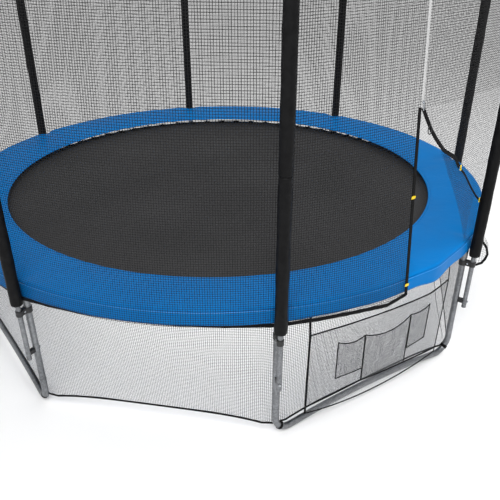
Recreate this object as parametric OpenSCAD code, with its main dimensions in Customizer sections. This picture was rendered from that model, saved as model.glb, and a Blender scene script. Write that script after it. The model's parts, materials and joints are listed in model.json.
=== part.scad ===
// Round backyard trampoline, 12 ft class, with enclosure net, spring pad, mat and a cloth skirt
// round the legs. The doorway faces -Y. Angles run from -Y towards +X. The origin is on the ground.

/* [Frame] */
// Radius of the centre line of the round top rail, which is also that of the leg uprights
rail_r = 1806; // [1700:1:1900]
// Height of the top rail's centre line
rail_z = 805; // [780:1:850]
// Outer diameter of the top rail
rail_d = 40; // [36:1:42]
// Wall thickness of the steel tubes
wall = 1.5; // [1:0.1:2]
// Outer diameter of the leg tube
leg_d = 38; // [34:1:38]
// Half of the angle that one U-shaped leg spans
leg_half = 22.85; // [22:0.05:23]
// Bend radius of the U-shaped leg's centre line
bend_r = 100; // [80:1:120]
// Slope at which the leg's foot tube leaves each bend to arch up in the middle
arch_slope = 6.5; // [2:0.5:7]
// Height where the U-shaped leg meets the upright
leg_joint_z = 180; // [160:1:220]
// Height of the lower mouth of the sockets under the top rail
socket_z = 700; // [690:1:720]

/* [Enclosure poles] */
// Radius at which the poles stand, outside the legs
pole_r = 1864; // [1862:1:1880]
// Outer diameter of the pole tube
pole_d = 28; // [25:1:30]
// Height of the pole's open lower end
pole_bottom_z = 362; // [340:1:390]
// Height of the pole's upper end
pole_top_z = 2600; // [2400:10:2700]
// Outer diameter of the foam sleeve
foam_d = 62; // [50:1:64]
// Height of the foam sleeve's lower end
foam_bottom_z = 720; // [700:1:740]
// Height of the seam between the lower and the upper foam sleeve
foam_seam_z = 1540; // [1200:10:1700]
// Height of the plastic clamps that hold pole and leg together
clamp_z = 668; // [640:1:680]
// Height of the bolts through pole and leg
bolt_z = 404; // [395:1:450]

/* [Mat and springs] */
// Radius of the woven mat
mat_r = 1572; // [1560:1:1573]
// Height of the mat's mid plane
mat_z = 783; // [781:0.5:784]
// Thickness of the mat
mat_t = 3; // [2:0.5:4]
// Number of springs round the mat
spring_count = 72; // [48:12:72]
// Outer diameter of a spring's coil
spring_d = 22; // [18:1:23]

/* [Spring pad] */
// Inner radius of the pad
pad_inner_r = 1470; // [1440:1:1500]
// Outer radius of the pad's padded part
pad_outer_r = 1827; // [1827:0.5:1828]
// Height of the pad's top at its inner edge
pad_inner_z = 838; // [836:1:842]
// Height of the pad's top at its outer crest
pad_crest_z = 858; // [850:1:870]
// Height of the lower edge of the pad's hanging skirt
pad_skirt_z = 768; // [760:1:800]

/* [Enclosure net] */
// Radius of the net where it passes a pole
net_r = 1832; // [1831.7:0.1:1832]
// How far the net's lower edge bows out between two poles
net_bow = 12; // [4:1:16]
// Height of the net's lower hem
net_bottom_z = 738; // [730:1:745]
// Height of the net's upper hem, which runs straight from pole to pole
net_top_z = 2610; // [2500:10:2700]
// Height of the doorway's top
door_top_z = 1720; // [1600:1:1800]
// Angle of the zip above the doorway
zip_a = 0.9; // [0.6:0.1:4]
// Thickness of the net
net_t = 1.2; // [1:0.1:1.4]

/* [Cloth round the legs] */
// Radius of this cloth at its upper edge and past the leg uprights
cloth_r = 1779; // [1770:1:1779.5]
// Height of this cloth's lower hem at a leg
cloth_corner_z = 80; // [78:1:100]
// Height of this cloth's lower hem between two legs
cloth_middle_z = 98; // [96:1:120]
// Half of the angle that the pocket panel spans
panel_half = 17.2; // [14:0.1:18]
// Height of the pocket panel's upper edge
panel_top_z = 620; // [580:1:660]

/* [Hidden] */
POSTS = 8;
LEGS = 4;
$fn = 48;

steel = [0.62, 0.64, 0.66];
foam_black = [0.10, 0.10, 0.11];
plastic_black = [0.08, 0.08, 0.09];
pad_blue = [0.06, 0.42, 0.78];
mat_black = [0.16, 0.16, 0.17];
net_black = [0.14, 0.14, 0.15];
buckle_yellow = [0.85, 0.80, 0.10];
cloth_grey = [0.72, 0.73, 0.75];
panel_grey = [0.45, 0.46, 0.48];

slack = 0.4;                              // clearance of a tube in its socket
sleeve_half = 1.6;                        // half angle of the tee's sleeve on the rail
sleeve_d = rail_d + 3;
bend_swell = 0.4;                         // how much wider the leg tube is in its bends
socket_d = 43.5;
insert_len = 60;                          // how far a swaged end enters the next tube
door_edge = zip_a - 0.36;                  // angle of the doorway's left edge
chord_r = rail_r * cos(leg_half);         // distance of a leg's foot tube from the centre
bend_x = rail_r * sin(leg_half) - bend_r; // centre of a leg's bend, across from the leg's middle
bend_z = (leg_d + bend_swell) / 2 + bend_r;
arch_r = (bend_x - bend_r * sin(arch_slope)) / sin(arch_slope);

// Angle of post i, counted from 1 on the doorway's left.
function post_angle(i) = 90 * floor((i - 1) / 2) + ((i % 2 == 1) ? -leg_half : leg_half);

// A point at radius r, angle a from -Y towards +X, and height z.
function at(r, a, z) = [r * sin(a), -r * cos(a), z];

// Distance of angle a from the middle of its bay, and half the angle of that bay.
function leg_bay(a) = abs(a - 90 * round(a / 90)) <= leg_half;
function off_middle(a) = leg_bay(a) ? a - 90 * round(a / 90) : a - 45 - 90 * round((a - 45) / 90);
function bay_half(a) = leg_bay(a) ? leg_half : 45 - leg_half;

// Radius of the net at angle a and height z: a bowed circle below, straight chords above.
function net_low_r(a) = net_r + net_bow * cos(90 * off_middle(a) / bay_half(a));
function net_high_r(a) = net_r * cos(bay_half(a)) / cos(off_middle(a));
function net_rise(z) = (z - net_bottom_z) / (net_top_z - net_bottom_z);
function net_at_r(a, z) = net_low_r(a) * (1 - net_rise(z)) + net_high_r(a) * net_rise(z);

// Height of the strap along the doorway's right flap at angle a, and angle of the fold at its left.
function strap_z(a) = lookup(a, [[1.2, door_top_z], [4.7, 1560], [7, 1485], [10.5, 1424], [14, 1316], [22.6, 1081]]);
function fold_a(z) = lookup(z, [[760, 20.5], [1030, 15.5], [1180, 12.6], [1344, 9.2], [1485, 7], [1560, 4.7],
    [door_top_z, 1.3]]);

// Radius of the cloth round the legs at angle a and height z: a circle above, chords below.
function cloth_low_r(a) = min(cloth_r, rail_r * cos(bay_half(a)) / cos(off_middle(a)));
function hem_z(a) = cloth_corner_z + (cloth_middle_z - cloth_corner_z) * cos(90 * off_middle(a) / bay_half(a));
function cloth_top_z() = rail_z - rail_d / 2 - 3;
function cloth_at_r(a, z) = let (s = (cloth_top_z() - z) / (cloth_top_z() - cloth_middle_z))
    cloth_r * (1 - s) + cloth_low_r(a) * s;

// Pocket panel: it leaves the cloth near the top and falls outside the foot tube to the ground.
panel_top_r = 1792;
panel_plane = chord_r + leg_d / 2 + 18;
function panel_low_z(a) = 34 + 60 * pow(abs(a) / panel_half, 2.2);
function panel_at_r(a, z) = let (s = (panel_top_z - z) / panel_top_z)
    panel_top_r * (1 - s) + panel_plane / cos(a) * s;

// Height of the foot tube's centre line at distance x from the leg's middle.
function arch_z(x) = bend_z - bend_r * cos(arch_slope) - arch_r * cos(arch_slope) + sqrt(arch_r * arch_r - x * x);

// Closed sheet of thickness t. rows[i][j] = [r, a, z] on its mid surface.
module cloth(rows, t) {
    m = len(rows);
    n = len(rows[0]);
    outer = [for (row = rows) for (p = row) at(p[0] + t / 2, p[1], p[2])];
    inner = [for (row = rows) for (p = row) at(p[0] - t / 2, p[1], p[2])];
    k = m * n;
    faces = concat(
        [for (i = [0:m - 2]) for (j = [0:n - 2]) let (q = i * n + j) [q, q + 1, q + n + 1]],
        [for (i = [0:m - 2]) for (j = [0:n - 2]) let (q = i * n + j) [q, q + n + 1, q + n]],
        [for (i = [0:m - 2]) for (j = [0:n - 2]) let (q = k + i * n + j) [q, q + n + 1, q + 1]],
        [for (i = [0:m - 2]) for (j = [0:n - 2]) let (q = k + i * n + j) [q, q + n, q + n + 1]],
        [for (i = [0:m - 2]) let (q = i * n) [q, q + n, q + n + k, q + k]],
        [for (i = [0:m - 2]) let (q = i * n + n - 1) [q, q + k, q + n + k, q + n]],
        [for (j = [0:n - 2]) [j, j + k, j + 1 + k, j + 1]],
        [for (j = [0:n - 2]) let (q = k - n + j) [q, q + 1, q + 1 + k, q + k]]
    );
    polyhedron(points = concat(outer, inner), faces = faces, convexity = 6);
}

// Angles from a0 to a1 that include every post between them, with n steps from one to the next.
function knots(a0, a1) = concat([a0],
    [for (k = [-1:5]) for (s = [-1, 1]) let (p = 90 * k + s * leg_half) if (p > a0 + 0.1 && p < a1 - 0.1) p], [a1]);
function spread(ks, n) = concat([for (i = [0:len(ks) - 2]) for (j = [0:n - 1]) ks[i] + (ks[i + 1] - ks[i]) * j / n],
    [ks[len(ks) - 1]]);

// Net between two angles, with n steps across each bay and its rows at the given heights.
module net_patch(a0, a1, heights, t, n) {
    cloth([for (a = spread(knots(a0, a1), n)) [for (z = heights) [net_at_r(a, z), a, z]]], t);
}
function steps(z0, z1, n) = [for (j = [0:n]) z0 + (z1 - z0) * j / n];

// Upright tube with its axis on Z.
module tube(length, outer_d, inner_d) {
    difference() {
        cylinder(h = length, d = outer_d);
        translate([0, 0, -1]) cylinder(h = length + 2, d = inner_d);
    }
}

// Bar bent along the top rail between two angles.
module rail_arc(d, a0, a1) {
    rotate([0, 0, a0 - 90]) rotate_extrude(angle = a1 - a0, $fn = 360) translate([rail_r, 0]) circle(d = d, $fn = 48);
}

// Rail that starts at angle a0 and ends at a1: tube, tee sleeve with its socket, and the swaged
// end that enters the next tee.
module rail_piece(a0, a1) {
    bore_d = rail_d - 2 * wall;
    pitch = 360 / spring_count;
    holes = [for (k = [floor(a0 / pitch):ceil(a1 / pitch)]) (k + 0.5) * pitch];
    difference() {
        union() {
            translate([0, 0, rail_z]) rail_arc(rail_d, a0 - sleeve_half, a1 - sleeve_half - 0.03);
            translate([0, 0, rail_z]) rail_arc(sleeve_d, a0 - sleeve_half, a0 + sleeve_half);
            translate([0, 0, rail_z]) rail_arc(bore_d - 2 * slack, a1 - 2 * sleeve_half, a1 - 0.5);
            translate(at(rail_r, a0, socket_z)) cylinder(h = rail_z - socket_z, d = socket_d);
        }
        translate([0, 0, rail_z]) rail_arc(bore_d, a0 - 2 * sleeve_half, a1 - 2 * sleeve_half);
        translate([0, 0, rail_z]) rail_arc(bore_d - 2 * slack - 2 * wall, a1 - 3 * sleeve_half, a1);
        translate(at(rail_r, a0, socket_z - 1)) cylinder(h = 81, d = leg_d + 2 * slack);
        for (a = holes) if (a > a0 - sleeve_half && a < a1 - sleeve_half)
            translate(at(rail_r - 7, a, rail_z)) cylinder(h = rail_d, d = 7);
    }
}

// Odd rails run over a leg, even ones from a leg to the next.
module top_rail(i) {
    color(steel) rotate([0, 0, 90 * floor((i - 1) / 2)]) {
        if (i % 2 == 1) rail_piece(-leg_half, leg_half);
        if (i % 2 == 0) rail_piece(leg_half, 90 - leg_half);
    }
}

// Solid bar along the U-shaped leg's path: foot arch, two bends and two short uprights. The bends
// are wider than the rest by swell, and the straight ends reach a little into them.
module leg_bar(d, swell, top) {
    reach = 4;
    side_x = bend_x + bend_r;
    arch_half = arch_slope + reach / arch_r * 180 / PI;
    for (s = [0, 1]) mirror([s, 0, 0]) {
        translate([side_x, 0, bend_z - reach]) cylinder(h = top - bend_z + reach, d = d);
        translate([bend_x, 0, bend_z]) rotate([90, 0, 0]) rotate([0, 0, -90 - arch_slope])
            rotate_extrude(angle = 90 + arch_slope, $fn = 96) translate([bend_r, 0]) circle(d = d + swell);
    }
    translate([0, 0, arch_z(0) - arch_r]) rotate([90, 0, 0]) rotate([0, 0, 90 - arch_half])
        rotate_extrude(angle = 2 * arch_half, $fn = 720) translate([arch_r, 0]) circle(d = d);
}

module leg_base(i) {
    side_x = bend_x + bend_r;
    color(steel) rotate([0, 0, 90 * (i - 1)]) translate([0, -chord_r, 0]) {
        difference() {
            leg_bar(leg_d, bend_swell, leg_joint_z);
            leg_bar(leg_d - 2 * wall, -bend_swell, leg_joint_z + 1);
        }
        for (s = [-1, 1]) translate([s * side_x, 0, leg_joint_z - 20])
            difference() {
                cylinder(h = 20 + insert_len, d = leg_d - 2 * wall - 2 * slack);
                translate([0, 0, -1]) cylinder(h = insert_len + 22, d = leg_d - 4 * wall - 2 * slack);
            }
        for (s = [-1, 1]) translate([s * side_x, 0, leg_joint_z - 20])
            tube(5, leg_d - wall, leg_d - 4 * wall);
    }
}

// Radial hole for the bolt through pole and leg at post i.
module bolt_hole(i) {
    translate(at(rail_r - 60, post_angle(i), bolt_z)) rotate([90, 0, post_angle(i)]) cylinder(h = 160, d = 9);
}

module leg_upright(i) {
    color(steel) difference() {
        translate(at(rail_r, post_angle(i), leg_joint_z)) {
            tube(775 - leg_joint_z, leg_d, leg_d - 2 * wall);
            tube(12, leg_d + 3, leg_d - 2 * wall);
        }
        bolt_hole(i);
    }
}

module pole(i) {
    color(steel) difference() {
        translate(at(pole_r, post_angle(i), pole_bottom_z)) tube(pole_top_z - pole_bottom_z, pole_d, pole_d - 2 * wall);
        bolt_hole(i);
    }
}

module pole_foam(i) {
    seam = 1;
    color(foam_black) translate(at(pole_r, post_angle(i), 0)) {
        translate([0, 0, foam_bottom_z]) tube(foam_seam_z - foam_bottom_z - seam, foam_d, pole_d + 1);
        translate([0, 0, foam_seam_z]) tube(pole_top_z - 20 - foam_seam_z, foam_d, pole_d + 1);
    }
}

// Figure-eight block that holds the pole beside the leg, with its cross bolt.
module pole_clamp(i) {
    height = 32;
    ring = 5;
    gap = pole_r - rail_r;
    rotate([0, 0, post_angle(i)]) translate([0, -rail_r, clamp_z - height / 2]) difference() {
        union() {
            cylinder(h = height, d = leg_d + 2 * ring);
            translate([0, -gap, 0]) cylinder(h = height, d = pole_d + 2 * ring);
            translate([-13, -gap, 0]) cube([26, gap, height]);
        }
        translate([0, 0, -1]) cylinder(h = height + 2, d = leg_d + slack);
        translate([0, -gap, -1]) cylinder(h = height + 2, d = pole_d + slack);
        translate([-20, -gap * 0.54, height / 2]) rotate([0, 90, 0]) cylinder(h = 40, d = 6.4);
    }
}

module pole_clamps() {
    color(plastic_black) for (i = [1:POSTS]) pole_clamp(i);
}

// Saddle between pole and leg at the through bolt.
module pole_spacer(i) {
    gap = pole_r - rail_r;
    size = 24;
    rotate([0, 0, post_angle(i)]) translate([0, -rail_r, bolt_z]) difference() {
        translate([-size / 2, -gap + 4, -size / 2]) cube([size, gap - 8, size]);
        translate([0, 0, -size]) cylinder(h = 2 * size, d = leg_d + slack);
        translate([0, -gap, -size]) cylinder(h = 2 * size, d = pole_d + slack);
        rotate([90, 0, 0]) cylinder(h = gap, d = 9);
    }
}

module pole_spacers() {
    color(plastic_black) for (i = [1:POSTS]) pole_spacer(i);
}

// Bolt with a domed head on one side and a nut on the other, its axis on X.
module bolt(length, d, head_d) {
    rotate([0, 90, 0]) {
        translate([0, 0, -length / 2]) cylinder(h = length, d = d);
        translate([0, 0, length / 2]) cylinder(h = d * 0.6, d = head_d);
        translate([0, 0, -length / 2 - d * 0.6]) cylinder(h = d * 0.6, d = head_d, $fn = 6);
    }
}

module pole_bolts() {
    gap = pole_r - rail_r;
    reach = gap + leg_d / 2 + pole_d / 2 + 1.6;
    middle = (rail_r - leg_d / 2 + pole_r + pole_d / 2) / 2;
    color(steel) for (i = [1:POSTS]) rotate([0, 0, post_angle(i)]) {
        translate([0, -middle, bolt_z]) rotate([0, 0, 90]) bolt(reach, 8, 15);
        translate([0, -rail_r - gap * 0.54, clamp_z]) bolt(26.6, 6, 11);
    }
}

// Domed cap on a pole with a lug that takes the net's strap.
module pole_cap(i) {
    skirt = 30;
    rotate([0, 0, post_angle(i)]) translate([0, -pole_r, pole_top_z]) {
        difference() {
            translate([0, 0, -skirt + 12]) cylinder(h = skirt, d = pole_d + 6);
            translate([0, 0, -skirt]) cylinder(h = skirt, d = pole_d + slack);
        }
        translate([0, 0, 12]) intersection() {
            sphere(d = pole_d + 6);
            translate([-30, -30, 0]) cube([60, 60, 30]);
        }
    }
}

module pole_caps() {
    color(plastic_black) for (i = [1:POSTS]) pole_cap(i);
}

// The padded ring over the springs, higher at its outer crest than at its inner edge.
module spring_pad() {
    color(pad_blue) rotate_extrude($fn = 360) polygon([
        [pad_inner_r, pad_inner_z - 12],
        [rail_r - 60, rail_z + rail_d / 2 - 3],
        [rail_r - 24, rail_z + rail_d / 2 + 7],
        [pad_outer_r, rail_z + rail_d / 2 + 7],
        [pad_outer_r, pad_crest_z - 12],
        [pad_outer_r - 5, pad_crest_z - 3],
        [pad_outer_r - 15, pad_crest_z],
        [pad_outer_r - 40, pad_crest_z - 1],
        [pad_inner_r + 6, pad_inner_z],
        [pad_inner_r, pad_inner_z - 5]
    ]);
}

module pad_skirt() {
    color(pad_blue) translate([0, 0, pad_skirt_z]) difference() {
        cylinder(h = pad_crest_z - 10 - pad_skirt_z, r = pad_outer_r + 2.2, $fn = 360);
        translate([0, 0, -1]) cylinder(h = 200, r = pad_outer_r + 1, $fn = 360);
    }
}

module mat() {
    color(mat_black) translate([0, 0, mat_z - mat_t / 2]) cylinder(h = mat_t, r = mat_r, $fn = 360);
}

// Triangular ring sewn to the mat's edge, with its apex outward.
module v_ring() {
    wire = 4.5;
    half = 18;
    depth = 34;
    base = mat_r + 2.5;
    middle = base + depth / 3;
    shrink = 0.583;
    outline = [[-half, -base], [half, -base], [0, -base - depth]];
    translate([0, 0, mat_z - wire / 2]) linear_extrude(wire) difference() {
        polygon(outline);
        polygon([for (p = outline) [p[0] * shrink, -middle + (p[1] + middle) * shrink]]);
    }
}

module v_rings() {
    color(steel) for (k = [0:spring_count - 1]) rotate([0, 0, (k + 0.5) * 360 / spring_count]) v_ring();
}

// Spring along -Y: coil, inner hook through the triangular ring, outer hook over and into the rail.
module spring() {
    wire = 3.2;
    coil_in = [1638, mat_z + 6];
    coil_out = [1764, rail_z - 2];
    hook_in = mat_r + 21;
    hook_in_z = mat_z + 5;
    hook_out = [rail_r - 7, rail_z + 24];
    tilt = atan2(coil_out[1] - coil_in[1], coil_out[0] - coil_in[0]);
    rise = atan2(hook_out[1] - coil_out[1], hook_out[0] - coil_out[0]);
    translate([0, -coil_in[0], coil_in[1]]) rotate([90 - tilt, 0, 0])
        cylinder(h = norm(coil_out - coil_in), d = spring_d);
    translate([0, -hook_in, hook_in_z]) rotate([90, 0, 0]) cylinder(h = coil_in[0] - hook_in + 1, d = wire);
    translate([0, -hook_in, hook_in_z - 12]) cylinder(h = 12 + wire / 2, d = wire);
    translate([0, -coil_out[0], coil_out[1]]) rotate([90 - rise, 0, 0])
        cylinder(h = norm(hook_out - coil_out), d = wire);
    translate([0, -hook_out[0], hook_out[1] - 15]) cylinder(h = 15 + wire / 2, d = wire);
}

module springs() {
    color(steel) for (k = [0:spring_count - 1]) rotate([0, 0, (k + 0.5) * 360 / spring_count]) spring();
}

// Heights of the net's rows from above its hem: close together where it passes the pad.
function net_heights(top) = concat([net_bottom_z + 20, 860], [for (z = [1150:290:top - 100]) z], [top]);

// The seven closed bays of the net, from the doorway's right pole round to its left pole.
module enclosure_net() {
    color(net_black) net_patch(leg_half, 360 - leg_half, net_heights(net_top_z - 22), net_t, 10);
}

module net_hem() {
    color(net_black) net_patch(leg_half + 1.5, 360 + door_edge, [net_bottom_z, net_bottom_z + 19.5], net_t, 8);
}

// Webbing band along the net's upper edge, with a short strap to each pole's cap.
module net_top_band() {
    gap = pole_r - pole_d / 2 - 3 - net_r;
    color(net_black) {
        net_patch(-leg_half, 360 - leg_half - 0.2, [net_top_z - 21.5, net_top_z], net_t, 4);
        for (i = [1:POSTS]) rotate([0, 0, post_angle(i)])
            translate([-10, -net_r - gap + 0.3, net_top_z - 18]) cube([20, gap + 4, 14]);
    }
}

// Net above the doorway, in two halves that the zip joins.
module door_head() {
    zip_half = 0.35;
    color(net_black) {
        net_patch(-leg_half + 0.01, zip_a - zip_half, steps(door_top_z, net_top_z - 22, 4), net_t, 4);
        net_patch(zip_a + zip_half, leg_half - 0.01, steps(door_top_z, net_top_z - 22, 4), net_t, 4);
    }
}

module zip_track() {
    color(cloth_grey) net_patch(zip_a - 0.34, zip_a + 0.34, steps(door_top_z + 20, net_top_z - 22, 4), 2, 1);
}

module door_flap_left() {
    color(net_black) net_patch(-leg_half + 0.01, door_edge - 0.51, net_heights(door_top_z - 0.5), net_t, 10);
}

// Black strap that binds the doorway's left edge.
module door_binding() {
    color(plastic_black) net_patch(door_edge - 0.5, door_edge, net_heights(door_top_z - 0.5), 3, 1);
}

// Right flap, folded back: it hangs between a slanting fold and the right pole, and its lower
// corner is tucked past that pole, where it bulges outward.
module door_flap_right() {
    across = 6;
    around = 8;
    last = leg_half - 0.4;
    heights = [net_bottom_z + 24, 860, 1030, 1180, 1344, 1485, 1560, door_top_z - 0.5];
    hang = [for (i = [0:across])
        [for (z = heights) let (a = fold_a(z) + (last - fold_a(z)) * i / across) [net_at_r(a, z), a, z]]];
    bulge = [for (i = [0:around]) let (a = leg_half + 1.5 + 4.4 * i / around)
        [for (j = [0:5]) let (z = net_bottom_z - 66 + 68 * j)
            [net_at_r(a, z) + 7 + 84 * sin(180 * i / around) * cos(16 * j), a, z]]];
    color(net_black) {
        cloth(hang, net_t);
        cloth(bulge, net_t);
    }
}

// Side-release buckles on the doorway's left strap.
module strap_buckles() {
    size = [30, 9, 52];
    color(buckle_yellow) for (z = [815, 1300])
        translate([0, 0, z]) rotate([0, 0, door_edge - 0.25])
            translate([-size[0] / 2, -net_at_r(0, z) - size[1] - 4, -size[2] / 2]) cube(size);
}

// Small hooks on the right flap's strap.
module buckle_catches() {
    size = [14, 7, 26];
    color(buckle_yellow) for (a = [12.2, 20])
        rotate([0, 0, a]) translate([-size[0] / 2, -net_at_r(a, strap_z(a)) - size[1] - 3, strap_z(a) - 14])
            cube(size);
}

// Zip slider with its pull, just above the doorway and outside the net.
module zip_slider() {
    z = door_top_z + 22;
    color(steel) rotate([0, 0, zip_a]) translate([0, -net_at_r(zip_a, z) - 1.8, z]) {
        translate([-6, -6, 0]) cube([12, 6, 16]);
        translate([-4, -8, -30]) cube([8, 2, 38]);
    }
}

// Fine net round the legs with its hem, in one sewn piece.
module lower_net() {
    steps_z = 5;
    rows = [for (a = spread(knots(leg_half, leg_half + 359.8), 8))
        [for (j = [0:steps_z]) let (z = hem_z(a) + (cloth_top_z() - hem_z(a)) * j / steps_z) [cloth_at_r(a, z), a, z]]];
    color(cloth_grey) cloth(rows, 1.5);
}

// Strap loops that tie the hem to the legs, half way round each bend.
module corner_straps() {
    x = bend_x + bend_r * sin(45);
    z = bend_z - bend_r * cos(45);
    color(plastic_black) for (leg = [0:LEGS - 1]) for (s = [-1, 1])
        rotate([0, 0, 90 * leg]) translate([s * x, -chord_r, z]) rotate([0, 90 - s * 45, 0])
            translate([0, 0, -10]) tube(20, leg_d + 5, leg_d + 2.4);
}

module pocket_panel() {
    steps = 10;
    rows = [for (i = [0:steps]) let (a = -panel_half + 2 * panel_half * i / steps)
        [for (j = [0:5]) let (z = panel_low_z(a) + (panel_top_z - panel_low_z(a)) * j / 5) [panel_at_r(a, z), a, z]]];
    color(panel_grey) cloth(rows, 2.5);
}

// Flat pocket on the panel between two angles and two heights.
module pocket(a0, a1, z0, z1) {
    rows = [for (i = [0:4]) let (a = a0 + (a1 - a0) * i / 4)
        [for (j = [0:2]) let (z = z0 + (z1 - z0) * j / 2) [panel_at_r(a, z) + 6, a, z]]];
    cloth(rows, 5);
}

module pockets() {
    color(panel_grey) {
        pocket(-11.4, -5.9, 245, 534);
        pocket(-5.6, 5.5, 150, 537);
        pocket(5.8, 11.4, 245, 530);
    }
}

for (i = [1:POSTS]) {
    top_rail(i);
    leg_upright(i);
    pole(i);
    pole_foam(i);
}
for (i = [1:LEGS]) leg_base(i);
pole_clamps();
pole_spacers();
pole_bolts();
pole_caps();
spring_pad();
pad_skirt();
mat();
v_rings();
springs();
enclosure_net();
net_hem();
net_top_band();
door_head();
zip_track();
door_flap_left();
door_binding();
door_flap_right();
strap_buckles();
buckle_catches();
zip_slider();
lower_net();
corner_straps();
pocket_panel();
pockets();
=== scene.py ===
"""Looks of a round backyard trampoline: padded ring, sprung mat, safety net with a zipped doorway,
foam-sleeved poles and the cloth round the legs. Lengths are metres, +Z is up. Angles are degrees
from -Y, where the doorway is, towards +X. Poles stand 22.85 degrees to each side of every leg's
middle, so bays over a leg and bays between two legs alternate."""

import json
import math

import bpy
import numpy as np
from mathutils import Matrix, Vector


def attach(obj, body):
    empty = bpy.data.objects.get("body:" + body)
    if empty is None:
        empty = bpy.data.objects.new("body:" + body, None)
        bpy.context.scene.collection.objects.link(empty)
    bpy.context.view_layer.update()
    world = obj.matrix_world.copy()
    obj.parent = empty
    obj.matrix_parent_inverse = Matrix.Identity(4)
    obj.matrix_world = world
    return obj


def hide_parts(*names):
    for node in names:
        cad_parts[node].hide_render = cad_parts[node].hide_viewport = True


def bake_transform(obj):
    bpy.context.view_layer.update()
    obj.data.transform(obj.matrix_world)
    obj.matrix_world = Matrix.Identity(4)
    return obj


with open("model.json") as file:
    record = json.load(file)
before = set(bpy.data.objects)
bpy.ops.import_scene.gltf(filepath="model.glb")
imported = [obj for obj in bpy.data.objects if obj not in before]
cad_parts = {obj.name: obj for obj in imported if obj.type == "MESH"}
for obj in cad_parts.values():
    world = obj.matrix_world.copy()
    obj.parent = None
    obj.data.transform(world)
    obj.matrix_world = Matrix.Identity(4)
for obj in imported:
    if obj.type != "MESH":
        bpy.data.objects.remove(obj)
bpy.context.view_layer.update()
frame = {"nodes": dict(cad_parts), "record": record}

LEG_HALF = 22.85
POSTS = [90 * k + side * LEG_HALF for k in range(4) for side in (-1, 1)]
RAIL_R, RAIL_Z = 1.806, 0.805
POLE_R = 1.864
MAT_R, MAT_Z = 1.572, 0.783
PAD_OUT, CREASE_Z, SKIRT_R, SKIRT_Z = 1.827, 0.846, 1.8284, 0.768
NET_LOW, NET_HIGH, NET_TOP_R = 0.738, 2.610, 1.832
DOOR_TOP, ZIP_A, STRAP_A = 1.720, 0.9, 0.3
CLOTH_R, CLOTH_TOP, CLOTH_LOW = 1.779, 0.782, 0.098
CHORD_R = RAIL_R * math.cos(math.radians(LEG_HALF))
SPRINGS, COIL_R, WIRE = 72, 0.0094, 0.0032
SLEEVE_R = 0.0325
BEND_X, BEND_Z, BEND_R = 0.6013, 0.1192, 0.1
HEM_Z = 0.748


# ---- Shapes -------------------------------------------------------------------------------------


def point(r, a, z):
    """Points at radius r, angle a and height z: (r sin a, -r cos a, z)."""
    t = np.radians(a)
    return np.stack(np.broadcast_arrays(r * np.sin(t), -r * np.cos(t), z), -1).astype(float)


def radial(a):
    """Unit vectors straight outwards at angle a."""
    return point(1.0, np.asarray(a, float), 0.0)


def cosd(a):
    """Cosine of an angle in degrees."""
    return np.cos(np.radians(a))


def bay(a):
    """Angle from the middle of the bay that a lies in, and half of that bay's angle."""
    over_leg = a - 90 * np.round(a / 90)
    between = a - 45 - 90 * np.round((a - 45) / 90)
    at_leg = np.abs(over_leg) <= LEG_HALF + 1e-9
    return np.where(at_leg, over_leg, between), np.where(at_leg, LEG_HALF, 45 - LEG_HALF)


def net_radius(a, z):
    """Radius of the net: at its foot a circle that bows out 12 mm in each bay, at its top straight
    chords from pole to pole, and a straight mix of the two between."""
    off, half = bay(a)
    foot = NET_TOP_R + 0.012 * cosd(90 * off / half)
    top = NET_TOP_R * cosd(half) / cosd(off)
    rise = (z - NET_LOW) / (NET_HIGH - NET_LOW)
    return foot * (1 - rise) + top * rise


def cloth_radius(a, z):
    """Radius of the cloth round the legs: a circle at its top, chords between the legs at its hem."""
    off, half = bay(a)
    hem = np.minimum(CLOTH_R, RAIL_R * cosd(half) / cosd(off))
    fall = (CLOTH_TOP - z) / (CLOTH_TOP - CLOTH_LOW)
    return CLOTH_R * (1 - fall) + hem * fall


def lattice(points, around=False, across=False, uv=None):
    """Faces of a grid of points [m, n, 3], closed in its first direction if around and in its
    second if across. Each face runs first direction first, so it faces first x second."""
    m, n = points.shape[:2]
    i, j = np.meshgrid(np.arange(m if around else m - 1), np.arange(n if across else n - 1), indexing="ij")
    i, j = i.ravel(), j.ravel()
    corners = ((i, j), (i + 1, j), (i + 1, j + 1), (i, j + 1))
    faces = np.stack([(p % m) * n + q % n for p, q in corners], 1)
    spots = None if uv is None else np.stack([uv[p, q] for p, q in corners], 1)
    return points.reshape(-1, 3), faces, spots


def grid_uv(m, n, width, height):
    """UV in metres for a grid of m by n points that is width long and height wide."""
    u, v = np.meshgrid(np.linspace(0, width, m), np.linspace(0, height, n), indexing="ij")
    return np.stack([u, v], -1)


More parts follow.
